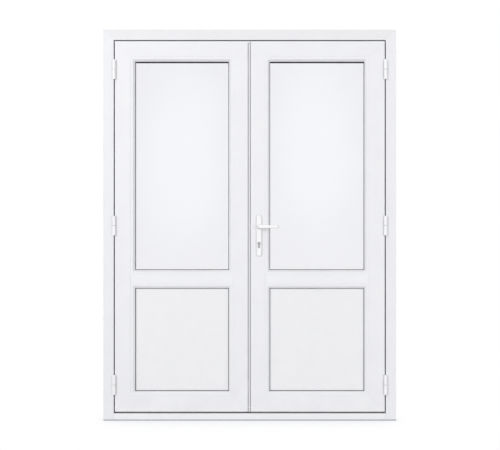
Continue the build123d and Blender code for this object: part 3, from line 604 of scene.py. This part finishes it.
@dataclass(frozen=True)
class GlassFinish:
    """Clear float glass that lets lamps through, with a painted reflection brightening the middle
    of the bay.
    """

    # colour is the pane's tint under a painted reflection at the middle of the bay, fading to
    # edge_colour.
    colour: Colour = (0.953, 0.958, 0.975)
    edge_colour: Colour = (0.926, 0.927, 0.942)
    fall_span: Span = (0.5, 1.5)
    cloud_scale: float = 2.4
    cloud_share: float = 0.5
    shadow_colour: Colour = (0.03, 0.03, 0.035)
    shadow_depth: float = 26.0 * MM
    shadow_edge: float = 1.0 * MM
    lamp_colour: Colour = (0.93, 0.94, 0.95)
    ior: float = 1.45

    def material(
        self, name: str, centre: Triple, reach: Triple, top: float | None,
    ) -> Material:
        """Build the finish for one pane.

        Args:
            name: the material's name.
            centre: middle of the bay.
            reach: distances from the middle at which the painted reflection has faded.
            top: height of the pane's top edge, where the head bead shades it, if it does.

        Returns:
            The material.
        """
        material, graph, shader, place = start_material(name)
        # Painted reflection: brighter towards the middle of the bay, fading with distance and
        # noise.
        away = graph.vector("SUBTRACT", place, centre).outputs[0]
        scaled = graph.vector("MULTIPLY", away, tuple(1.0 / part for part in reach)).outputs[0]
        length = graph.vector("LENGTH", scaled).outputs["Value"]
        cloud = graph.math("MULTIPLY", graph.noise(place, self.cloud_scale), self.cloud_share)
        share = graph.spread(graph.math("ADD", length, cloud), self.fall_span)
        tint_and_painted_light = graph.mixed(share, self.colour, self.edge_colour)
        if top is not None:
            line = top - self.shadow_depth
            span = (line - self.shadow_edge, line + self.shadow_edge)
            shadow = graph.spread(graph.height_of(place), span)
            tint_and_painted_light = graph.mixed(shadow, tint_and_painted_light, self.shadow_colour)
        graph.feed(shader, {
            "Base Color": tint_and_painted_light, "Transmission Weight": 1.0, "Roughness": 0.0, "IOR": self.ior,
        })
        clear = graph.node("ShaderNodeBsdfTransparent", {"Color": (*self.lamp_colour, 1.0)})
        lamp_ray = graph.node("ShaderNodeLightPath").outputs["Is Shadow Ray"]
        sides = {0: lamp_ray, 1: shader.outputs[0], 2: clear.outputs[0]}
        mix = graph.node("ShaderNodeMixShader", sides)
        graph.feed(material.node_tree.nodes["Material Output"], {"Surface": mix.outputs[0]})
        return material


def dress(node: Piece, material: Material) -> None:
    """Give a CAD node one material.

    Args:
        node: the node.
        material: its finish.
    """
    node.data.materials.clear()
    node.data.materials.append(material)
    log.info("%s has %s", node.name, material.name)


def add_mesh(name: str, shell: bmesh.types.BMesh) -> Piece:
    """Turn a finished shell into an object of the scene.

    Args:
        name: the new object's name.
        shell: its faces, which are freed.

    Returns:
        The new object.
    """
    data = bpy.data.meshes.new(name)
    shell.to_mesh(data)
    shell.free()
    made = bpy.data.objects.new(name, data)
    bpy.context.scene.collection.objects.link(made)
    return made


def mesh_piece(name: str, *skins: Sequence[Ring], smooth: bool = True) -> Piece:
    """Skin rows of rings into one mesh of closed shells.

    Args:
        name: the new object's name.
        skins: one row of rings of equal length for each shell, in order.
        smooth: shade smoothly.

    Returns:
        The new object, linked to the scene.
    """
    shell = bmesh.new()
    for rings in skins:
        rows = [[shell.verts.new(point) for point in ring] for ring in rings]
        for low, high in zip(rows, rows[1:]):
            for index in range(len(low)):
                after = (index + 1) % len(low)
                shell.faces.new((low[index], low[after], high[after], high[index]))
        shell.faces.new(list(reversed(rows[0])))
        shell.faces.new(rows[-1])
    bmesh.ops.recalc_face_normals(shell, faces=shell.faces)
    made = add_mesh(name, shell)
    made.data.polygons.foreach_set("use_smooth", [smooth] * len(made.data.polygons))
    return made


def finish_piece(piece: Piece, body: str, material: Material) -> None:
    """Dress a new piece and let it ride.

    Args:
        piece: the new object.
        body: the body that it moves with.
        material: its finish.
    """
    piece.data.materials.append(material)
    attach(piece, body)
    log.info("%s rides on %s", piece.name, body)


class Finishes:
    """The materials that several sub-assemblies share."""

    def __init__(self) -> None:
        """Build each shared material once."""
        self.rubber = RubberFinish().material("seal_rubber")
        self.zinc = ZincFinish().material("zinc_sheet")
        self.panel = CoatFinish(
            colour=(0.868, 0.869, 0.888), roughness=0.36, peel_scale=240.0, tone=0.99,
        ).material("white_panel")
        # White coat with painted shade in its creases.
        self.coat = CoatFinish(
            colour=(0.945, 0.947, 0.957), roughness=0.36, painted_shade_share=0.6,
        ).material("white_coat")
        # Lever coat with painted shade on its undersides.
        self.lever_coat = CoatFinish(
            colour=(0.95, 0.951, 0.958), roughness=0.33, painted_under_shade_share=0.4,
        ).material("lever_coat")
        self.steel = MetalFinish(colour=(0.6, 0.61, 0.63), roughness=0.34).material("lock_steel")
        self.screw = MetalFinish(
            colour=(0.66, 0.67, 0.7), roughness=0.28, lines=(500.0, 500.0, 500.0),
        ).material("screw_steel")
        self.nickel = MetalFinish(
            colour=(0.52, 0.522, 0.53), roughness=0.3, lines=(900.0, 60.0, 900.0),
        ).material("satin_nickel")
        self.alloy = MetalFinish(
            colour=(0.74, 0.75, 0.77), roughness=0.4, lines=(40.0, 900.0, 40.0),
        ).material("spacer_alloy")
        # Nylon with painted shade in its creases.
        self.nylon = CoatFinish(
            colour=(0.4, 0.4, 0.39), roughness=0.45, painted_shade_share=0.8,
        ).material("washer_nylon")
        self.end_cap = CoatFinish(
            colour=(0.5, 0.5, 0.51), roughness=0.45, peel_scale=500.0,
        ).material("end_cap_plastic")
        self.packer = CoatFinish(colour=(0.2, 0.4, 0.66), roughness=0.5).material("packer_plastic")


@dataclass
class OuterFrame:
    """Frame members, their seal, steels and keeps."""

    nodes: Nodes
    finishes: Finishes
    # Copies of one white profile, each lighter or darker to paint the light it gets: the head
    # darker, the threshold lighter; jambs and threshold also carry a painted contact shadow at the
    # foot.
    jamb: ProfileFinish = ProfileFinish(
        colour=(0.85, 0.854, 0.878), shade=(0.835, 0.839, 0.864), painted_foot_shadow_share=0.8)
    head: ProfileFinish = ProfileFinish(colour=(0.832, 0.833, 0.852), shade=(0.816, 0.817, 0.836))
    threshold: ProfileFinish = ProfileFinish(
        colour=(0.888, 0.889, 0.904), shade=(0.873, 0.874, 0.889), painted_foot_shadow_share=0.85)

    def dress(self) -> None:
        """Finish every node of the frame."""
        left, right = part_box("frame_jamb_left")[0].x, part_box("frame_jamb_right")[1].x
        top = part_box("frame_head")[1].z
        diagonal = math.sqrt(0.5)
        seams = {
            "left": Seam((left, 0.0, top), (diagonal, 0.0, diagonal)),
            "right": Seam((right, 0.0, top), (diagonal, 0.0, -diagonal)),
        }
        for side, seam in seams.items():
            name = f"frame_jamb_{side}"
            dress(self.nodes[name], self.jamb.material(name, Run.UPRIGHT, [seam]))
        head = self.head.material("frame_head", Run.LEVEL, seams.values())
        dress(self.nodes["frame_head"], head)
        dress(self.nodes["frame_threshold"], self.threshold.material("frame_threshold", Run.LEVEL))
        dress(self.nodes["frame_seal"], self.finishes.rubber)
        dress(self.nodes["frame_steels"], self.finishes.zinc)
        dress(self.nodes["flush_bolt_keeps"], self.finishes.steel)


@dataclass
class LeafLooks:
    """Members, glazing and infill of one leaf."""

    leaf: Leaf
    nodes: Nodes
    finishes: Finishes
    sash_face: float = 86.0 * MM
    meeting_face: float = 80.0 * MM
    # Where the painted reflection on the panes is brightest, and how far it spreads.
    painted_reflection_rise: float = 0.06
    painted_reflection_across: float = 0.55
    painted_reflection_up: float = 0.5
    profile: ProfileFinish = ProfileFinish()
    # Lighter copies of the profile that paint the light on the bottom rail and transom; the bottom
    # rail also carries painted shade from the gap below it, and the beads painted shade at their
    # joints.
    bottom_rail: ProfileFinish = ProfileFinish(
        colour=(0.876, 0.878, 0.899), painted_shade_reach=20.0 * MM, painted_shade_share=0.9)
    transom: ProfileFinish = ProfileFinish(colour=(0.876, 0.88, 0.904), shade=(0.862, 0.866, 0.89))
    beads: ProfileFinish = ProfileFinish(painted_shade_reach=3.0 * MM, painted_shade_share=0.6)

    def name(self, part: str) -> str:
        """Name of one of this leaf's CAD nodes."""
        return f"{self.leaf.value}_{part}"

    def seams(self) -> dict[tuple[str, str], Seam]:
        """Mitre planes of the leaf's four corners.

        Returns:
            A seam for each pair of upright and rail names.
        """
        stile_low, stile_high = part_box(self.name("hinge_stile"))
        meet_low, meet_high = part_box(self.name("meeting_stile"))
        if self.leaf is Leaf.PASSIVE:
            outer, inner, way = stile_low.x, meet_high.x, 1
        else:
            outer, inner, way = stile_high.x, meet_low.x, -1
        edges = {
            "hinge_stile": (outer, way, self.sash_face),
            "meeting_stile": (inner, -way, self.meeting_face),
        }
        rails = {"bottom_rail": (stile_low.z, 1), "top_rail": (stile_high.z, -1)}
        found = {}
        for stile, (x, inward, face) in edges.items():
            for rail, (z, up) in rails.items():
                along = Vector((inward * face, 0.0, up * self.sash_face)).normalized()
                normal = tuple(along.cross(Vector((0.0, 1.0, 0.0))))
                found[stile, rail] = Seam((x, 0.0, z), normal)
        return found

    def dress_members(self) -> None:
        """Finish the stiles, rails, transom and beads."""
        seams = self.seams()
        members = {
            "hinge_stile": (self.profile, Run.UPRIGHT),
            "meeting_stile": (self.profile, Run.UPRIGHT),
            "top_rail": (self.profile, Run.LEVEL),
            "bottom_rail": (self.bottom_rail, Run.LEVEL),
            "transom": (self.transom, Run.LEVEL),
            "beads": (self.beads, Run.UPRIGHT),
        }
        for part, (finish, run) in members.items():
            ends = [seam for pair, seam in seams.items() if part in pair]
            dress(self.nodes[self.name(part)], finish.material(self.name(part), run, ends))

    def dress_panes(self) -> None:
        """Finish both panes of the glazing unit."""
        for side in ("front", "back"):
            name = self.name(f"pane_{side}")
            low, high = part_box(name)
            size = high - low
            centre = (low + high) / 2 + Vector((0.0, 0.0, size.z * self.painted_reflection_rise))
            reach = (size.x * self.painted_reflection_across, 1.0, size.z * self.painted_reflection_up)
            top = high.z if side == "front" else None
            dress(self.nodes[name], GlassFinish().material(name, tuple(centre), reach, top))

    def dress(self) -> None:
        """Finish every node of the leaf."""
        self.dress_members()
        shared = {
            "lower_panel": self.finishes.panel, "gaskets": self.finishes.rubber,
            "steels": self.finishes.zinc, "pane_spacer": self.finishes.alloy,
            "packers": self.finishes.packer, "hinge_halves": self.finishes.coat,
            "hinge_screws": self.finishes.screw,
        }
        for part, material in shared.items():
            dress(self.nodes[self.name(part)], material)
        self.dress_panes()


@dataclass
class MeetingHardware:
    """Strip, keep and flush bolts on the passive leaf's meeting edge."""

    nodes: Nodes
    finishes: Finishes
    # A darker copy of the white profile, painting the shade inside the strip's recess.
    strip: ProfileFinish = ProfileFinish(colour=(0.8, 0.803, 0.825), shade=(0.78, 0.783, 0.806))
    flange_deep: float = 11.8 * MM
    flange_from_end: float = 17.8 * MM
    cap_thick: float = 3.0 * MM
    cap_inset: float = 0.1 * MM
    cap_chamfer: float = 0.5 * MM

    def dress(self) -> None:
        """Finish the strip, its cap, the keep and the bolts."""
        for name in ("meeting_strip", "meeting_strip_cap"):
            dress(self.nodes[name], self.strip.material(name, Run.UPRIGHT))
        for name in ("lock_keep", "flush_bolt_plates", "flush_bolt_top", "flush_bolt_bottom"):
            dress(self.nodes[name], self.finishes.steel)

    def end_caps(self) -> None:
        """Close both ends of the strip's hollow flange with a moulded cap."""
        low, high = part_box("meeting_strip")
        stile_low, stile_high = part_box("passive_meeting_stile")
        front = stile_high.y - self.flange_deep
        ends = {
            "low": (stile_low.z + self.flange_from_end, -1),
            "high": (stile_high.z - self.flange_from_end, 1),
        }
        steps = (
            (0.0, self.cap_inset),
            (self.cap_thick - self.cap_chamfer, self.cap_inset),
            (self.cap_thick, self.cap_inset + self.cap_chamfer),
        )
        for name, (seat, way) in ends.items():
            rings = []
            for step, inset in steps:
                x0, x1 = low.x + inset, high.x - inset
                y0, y1 = front + inset, high.y - inset
                z = seat + way * step
                corners = ((x0, y0, z), (x1, y0, z), (x1, y1, z), (x0, y1, z))
                rings.append([Vector(corner) for corner in corners])
            cap = mesh_piece(f"meeting_strip_end_{name}", rings, smooth=False)
            finish_piece(cap, "passive_leaf", self.finishes.end_cap)


@dataclass
class Hinges:
    """Frame halves, pins, washers and screws of the six hinges."""

    nodes: Nodes
    finishes: Finishes

    def dress(self) -> None:
        """Finish the hinge nodes that stay with the frame."""
        dress(self.nodes["hinge_frame_halves"], self.finishes.coat)
        dress(self.nodes["hinge_frame_screws"], self.finishes.screw)
        dress(self.nodes["hinge_pins"], self.finishes.screw)
        dress(self.nodes["hinge_washers"], self.finishes.nylon)


@dataclass
class PlateScrews:
    """The two through screws of the long plates, with a cross recess in their heads."""

    finishes: Finishes
    points: int = 72
    # Distance from the tip or from the head's top in millimetres, and share of the head's radius.
    from_tip: tuple[Span, ...] = ((0.0, 0.35), (1.0, 0.53))
    from_head: tuple[Span, ...] = ((2.3, 0.54), (0.3, 0.95), (0.1, 0.88))
    rim_sink: float = 0.1 * MM
    recess_half_wide: float = 0.55 * MM
    recess_long: float = 2.4 * MM
    recess_deep: float = 1.7 * MM
    recess_floor: float = 0.6
    least_sine: float = 0.01

    def recess(self, angle: float) -> float:
        """Radius of the cross recess's outline.

        Args:
            angle: direction from the screw's axis.

        Returns:
            The radius.
        """
        folded = (angle + math.pi / 4) % (math.pi / 2) - math.pi / 4
        across = self.recess_half_wide / max(abs(math.sin(folded)), self.least_sine)
        return min(self.recess_long / math.cos(folded), across)

    def build(self) -> Piece:
        """Build both screws.

        Returns:
            The new piece.
        """
        low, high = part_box("handle_plate_screws")
        half = (high.x - low.x) / 2
        angles = [2 * math.pi * index / self.points for index in range(self.points)]
        mouth = [self.recess(angle) for angle in angles]
        sections = [(low.y + step * MM, share) for step, share in self.from_tip]
        sections += [(high.y - step * MM, share) for step, share in self.from_head]
        outlines = [(y, [half * share] * self.points) for y, share in sections]
        outlines.append((high.y - self.rim_sink, mouth))
        floor = [radius * self.recess_floor for radius in mouth]
        outlines.append((high.y - self.recess_deep, floor))
        skins = []
        for z in (low.z + half, high.z - half):
            centre = Vector((low.x + half, 0.0, z))
            skins.append([
                [centre + Vector((radius * math.cos(angle), y, radius * math.sin(angle)))
                 for radius, angle in zip(radii, angles)]
                for y, radii in outlines
            ])
        piece = mesh_piece("plate_screws_cross_recessed", *skins, smooth=False)
        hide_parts("handle_plate_screws")
        finish_piece(piece, "active_leaf", self.finishes.screw)
        return piece


@dataclass
class Lever:
    """One lever as a lofted casting: collar, neck, bend, tapering arm and return."""

    face: Face
    finishes: Finishes
    axis_in: float = 11.5 * MM
    plate_thick: float = 9.0 * MM
    bore_share: float = 0.99
    bore_rise: float = 0.1 * MM
    neck_radius: float = 9.0 * MM
    collar_radius: float = 11.4 * MM
    arm_half_high: float = 9.2 * MM
    arm_half_deep: float = 5.0 * MM
    tip_half_high: float = 7.6 * MM
    tip_half_deep: float = 4.2 * MM
    bend: float = 14.0 * MM
    tip_bend: float = 8.0 * MM
    turns: int = 8
    arm_steps: int = 5
    ring_points: int = 28
    round_power: float = 2.0
    neck_power: float = 2.6
    arm_power: float = 2.8
    # Millimetres above the plate, and share of the collar's radius.
    collar: tuple[Span, ...] = ((0.15, 0.97), (0.6, 1.0), (2.6, 1.0), (3.6, 0.97), (4.0, 0.88))
    # Millimetres above the plate, and half width in millimetres.
    neck: tuple[Span, ...] = ((4.2, 9.6), (7.0, 9.2), (12.0, 9.0), (18.0, 9.0))
    # Millimetres past the last bend, and share of the tip's section.
    end: tuple[Span, ...] = ((2.4, 1.0), (3.4, 0.93), (4.0, 0.7), (4.1, 0.3))

    def __post_init__(self) -> None:
        """Read where the lever stands from its CAD node."""
        self.node = f"lever_{self.face.name.lower()}"
        low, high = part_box(self.node)
        front = self.face is Face.FRONT
        self.right = Vector((1.0, 0.0, 0.0))
        self.out = Vector((0.0, float(self.face.value), 0.0))
        self.seat = high.y if front else low.y
        self.arm_y = (low.y if front else high.y) - self.out.y * self.arm_half_deep
        self.axis = Vector((low.x + self.axis_in, 0.0, (low.z + high.z) / 2))
        self.tip_x = high.x - self.arm_half_deep

    def ring(
        self, centre: Vector, across: Vector, half_across: float, half_high: float, power: float,
    ) -> Ring:
        """Points of one rounded section.

        Args:
            centre: middle of the section.
            across: direction of its half_across size.
            half_across: half size along across.
            half_high: half size along Z.
            power: 2 for an ellipse, more for a squarer section.

        Returns:
            The section's points.
        """
        points = []
        for index in range(self.ring_points):
            angle = 2 * math.pi * index / self.ring_points
            cosine, sine = math.cos(angle), math.sin(angle)
            x = math.copysign(abs(cosine) ** (2 / power), cosine) * half_across
            z = math.copysign(abs(sine) ** (2 / power), sine) * half_high
            points.append(centre + across * x + Vector((0.0, 0.0, z)))
        return points

    def neck_rings(self) -> list[Ring]:
        """Sections from the seat in the plate, over the collar, up to the bend.

        Returns:
            The rings.
        """
        plate = self.seat + self.out.y * self.plate_thick
        bore = self.neck_radius * self.bore_share
        stations = [
            (self.seat, bore, bore, self.round_power),
            (plate + self.out.y * self.bore_rise, bore, bore, self.round_power),
        ]
        for step, share in self.collar:
            radius = self.collar_radius * share
            stations.append((plate + self.out.y * step * MM, radius, radius, self.round_power))
        for step, half in self.neck:
            y = plate + self.out.y * step * MM
            stations.append((y, half * MM, self.arm_half_high, self.neck_power))
        return [
            self.ring(self.axis + Vector((0.0, y, 0.0)), self.right, half, tall, power)
            for y, half, tall, power in stations
        ]

    def arm_rings(self) -> list[Ring]:
        """Sections round the bend and along the tapering arm.

        Returns:
            The rings.
        """
        rings = []
        centre = self.axis + Vector((self.bend, self.arm_y - self.out.y * self.bend, 0.0))
        for step in range(1, self.turns + 1):
            angle = math.pi / 2 * step / self.turns
            cosine, sine = math.cos(angle), math.sin(angle)
            spot = centre - self.right * self.bend * cosine + self.out * self.bend * sine
            across = self.right * cosine - self.out * sine
            deep = self.arm_half_deep + (self.neck_radius - self.arm_half_deep) * cosine ** 2
            rings.append(self.ring(spot, across, deep, self.arm_half_high, self.arm_power))
        start_x = self.axis.x + self.bend
        run = self.tip_x - self.tip_bend - start_x
        for step in range(1, self.arm_steps + 1):
            share = step / self.arm_steps
            spot = Vector((start_x + run * share, self.arm_y, self.axis.z))
            deep = self.arm_half_deep + (self.tip_half_deep - self.arm_half_deep) * share
            tall = self.arm_half_high + (self.tip_half_high - self.arm_half_high) * share
            rings.append(self.ring(spot, -self.out, deep, tall, self.arm_power))
        return rings

    def return_rings(self) -> list[Ring]:
        """Sections round the last bend and over the end that turns back to the leaf.

        Returns:
            The rings.
        """
        rings = []
        back_y = self.arm_y - self.out.y * self.tip_bend
        centre = Vector((self.tip_x - self.tip_bend, back_y, self.axis.z))
        deep, tall = self.tip_half_deep, self.tip_half_high
        for step in range(1, self.turns + 1):
            angle = math.pi / 2 * step / self.turns
            cosine, sine = math.cos(angle), math.sin(angle)
            spot = centre + self.right * self.tip_bend * sine + self.out * self.tip_bend * cosine
            across = -self.out * cosine - self.right * sine
            rings.append(self.ring(spot, across, deep, tall, self.arm_power))
        last = Vector((self.tip_x, back_y, self.axis.z))
        for step, share in self.end:
            spot = last - self.out * step * MM
            rings.append(self.ring(spot, -self.right, deep * share, tall * share, self.arm_power))
        return rings

    def build(self) -> Piece:
        """Build the lever.

        Returns:
            The new piece.
        """
        rings = self.neck_rings() + self.arm_rings() + self.return_rings()
        piece = mesh_piece(f"{self.node}_casting", rings)
        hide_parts(self.node)
        finish_piece(piece, "handle_set", self.finishes.lever_coat)
        return piece


@dataclass
class LockAndHandles:
    """Long plates, levers, cylinder and lock parts of the active leaf."""

    nodes: Nodes
    finishes: Finishes

    def dress(self) -> None:
        """Finish the CAD nodes of the lock and handle set."""
        for name in ("handle_plate_front", "handle_plate_back"):
            dress(self.nodes[name], self.finishes.coat)
        for name in ("lock_face_plate", "lock_case", "lock_follower", "latch_bolt", "dead_bolt"):
            dress(self.nodes[name], self.finishes.steel)
        dress(self.nodes["handle_spindle"], self.finishes.screw)
        for name in ("lock_cylinder", "cylinder_plug"):
            dress(self.nodes[name], self.finishes.nickel)

    def build(self) -> None:
        """Build the turned and cast pieces."""
        PlateScrews(self.finishes).build()
        for face in Face:
            Lever(face, self.finishes).build()


@dataclass(frozen=True)
class Lamp:
    """A soft square lamp that never shows itself straight or through glass."""

    name: str
    spot: Triple
    aim: Triple
    width: float
    watts: float
    mirrored: bool = False

    def hang(self) -> None:
        """Add the lamp to the scene."""
        data = bpy.data.lights.new(self.name, "AREA")
        data.size = self.width
        data.energy = self.watts
        made = bpy.data.objects.new(self.name, data)
        made.visible_glossy = self.mirrored
        made.visible_camera = False
        made.visible_transmission = False
        made.location = self.spot
        way = Vector(self.aim) - Vector(self.spot)
        made.rotation_euler = way.to_track_quat("-Z", "Y").to_euler()
        bpy.context.scene.collection.objects.link(made)
        log.info("lamp %s hangs", self.name)


@dataclass
class Studio:
    """Floor, light and camera of the picture."""

    picture_width: int = 500
    mm_per_pixel: float = 5.463
    shift_right: float = 1.25 * MM
    shift_up: float = 0.8 * MM
    distance: float = 5.0
    sensor: float = 36.0
    floor_reach: float = 400.0
    floor_colour: Colour = (0.73, 0.73, 0.74)
    floor_roughness: float = 0.9
    shadow_colour: Colour = (0.86, 0.875, 0.915)
    contact_reach: float = 0.4
    contact_open: float = 0.5
    contact_power: float = 2.4
    world_light: float = 0.64
    lamps: tuple[Lamp, ...] = (
        Lamp("key", (-5.2, -8.0, 4.0), (0.0, 0.0, 0.9), 2.2, 290.0, mirrored=True),
        Lamp("fill", (5.2, -8.0, 1.8), (0.0, 0.0, 0.6), 2.4, 145.0),
        Lamp("rear", (5.2, 6.5, 3.0), (0.0, 0.0, 1.0), 2.6, 196.0),
    )

    @staticmethod
    def seen_directly(graph: Graph) -> Socket:
        """Mask of the rays that show a surface: straight, mirrored or through glass.

        Args:
            graph: the graph that asks.

        Returns:
            1 for such a ray, and 0 for light on its way to a matt surface.
        """
        path = graph.node("ShaderNodeLightPath").outputs
        mask = graph.math("MAXIMUM", path["Is Camera Ray"], path["Is Glossy Ray"])
        return graph.math("MAXIMUM", mask, path["Is Transmission Ray"])

    def floor_material(self) -> Material:
        """Build a pale matt floor that looks white but for the object's contact shadow.

        Returns:
            The material.
        """
        material, graph, shader, _ = start_material("pale_floor")
        graph.feed(shader, {
            "Base Color": (*self.floor_colour, 1.0), "Roughness": self.floor_roughness,
            "Specular IOR Level": 0.0,
        })
        given = {"Distance": self.contact_reach}
        near = graph.node("ShaderNodeAmbientOcclusion", given, samples=16)
        shut = graph.math("SUBTRACT", 1.0, near.outputs["AO"])
        shut = graph.math("DIVIDE", shut, self.contact_open, clamp=True)
        share = graph.math("POWER", shut, self.contact_power)
        colour = graph.mixed(share, WHITE, self.shadow_colour)
        glow = graph.node("ShaderNodeEmission", {"Color": colour})
        both = graph.node("ShaderNodeMixShader", {
            0: self.seen_directly(graph), 1: shader.outputs[0], 2: glow.outputs[0],
        })
        graph.feed(material.node_tree.nodes["Material Output"], {"Surface": both.outputs[0]})
        return material

    def floor(self) -> None:
        """Lay the floor."""
        reach = self.floor_reach
        corners = ((-reach, -reach), (reach, -reach), (reach, reach), (-reach, reach))
        shell = bmesh.new()
        shell.faces.new([shell.verts.new((*corner, 0.0)) for corner in corners])
        plane = add_mesh("floor", shell)
        plane.data.materials.append(self.floor_material())
        plane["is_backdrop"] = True

    def world(self) -> None:
        """Give soft light from all round, and a backdrop seen as plain white."""
        world = bpy.data.worlds.new("studio")
        bpy.context.scene.world = world
        world.use_nodes = True
        graph = Graph(world.node_tree)
        seen = graph.math("MULTIPLY", self.seen_directly(graph), 1.0 - self.world_light)
        strength = graph.math("ADD", seen, self.world_light)
        backdrop = world.node_tree.nodes["Background"]
        graph.feed(backdrop, {"Color": (*WHITE, 1.0), "Strength": strength})

    def camera(self) -> None:
        """Set the camera square to the door at half its height."""
        low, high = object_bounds()
        data = bpy.data.cameras.new("camera")
        data.sensor_fit = "HORIZONTAL"
        data.sensor_width = self.sensor
        across = self.picture_width * self.mm_per_pixel * MM
        data.lens = self.sensor * self.distance / across
        made = bpy.data.objects.new("camera", data)
        face_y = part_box("frame_head")[0].y
        height = (low.z + high.z) / 2 + self.shift_up
        made.location = (self.shift_right, face_y - self.distance, height)
        made.rotation_euler = (math.pi / 2, 0.0, 0.0)
        bpy.context.scene.collection.objects.link(made)
        bpy.context.scene.camera = made

    def build(self) -> None:
        """Build the whole studio."""
        self.floor()
        self.world()
        for lamp in self.lamps:
            lamp.hang()
        self.camera()


def main() -> None:
    """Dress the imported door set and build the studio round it."""
    logging.basicConfig(level=logging.INFO, format="%(name)s: %(message)s")
    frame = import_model()
    nodes = frame["nodes"]
    bpy.context.scene.view_settings.view_transform = "Standard"
    finishes = Finishes()
    OuterFrame(nodes, finishes).dress()
    for leaf in Leaf:
        LeafLooks(leaf, nodes, finishes).dress()
    meeting = MeetingHardware(nodes, finishes)
    meeting.dress()
    meeting.end_caps()
    Hinges(nodes, finishes).dress()
    handles = LockAndHandles(nodes, finishes)
    handles.dress()
    handles.build()
    Studio().build()


if __name__ == "__main__":
    main()
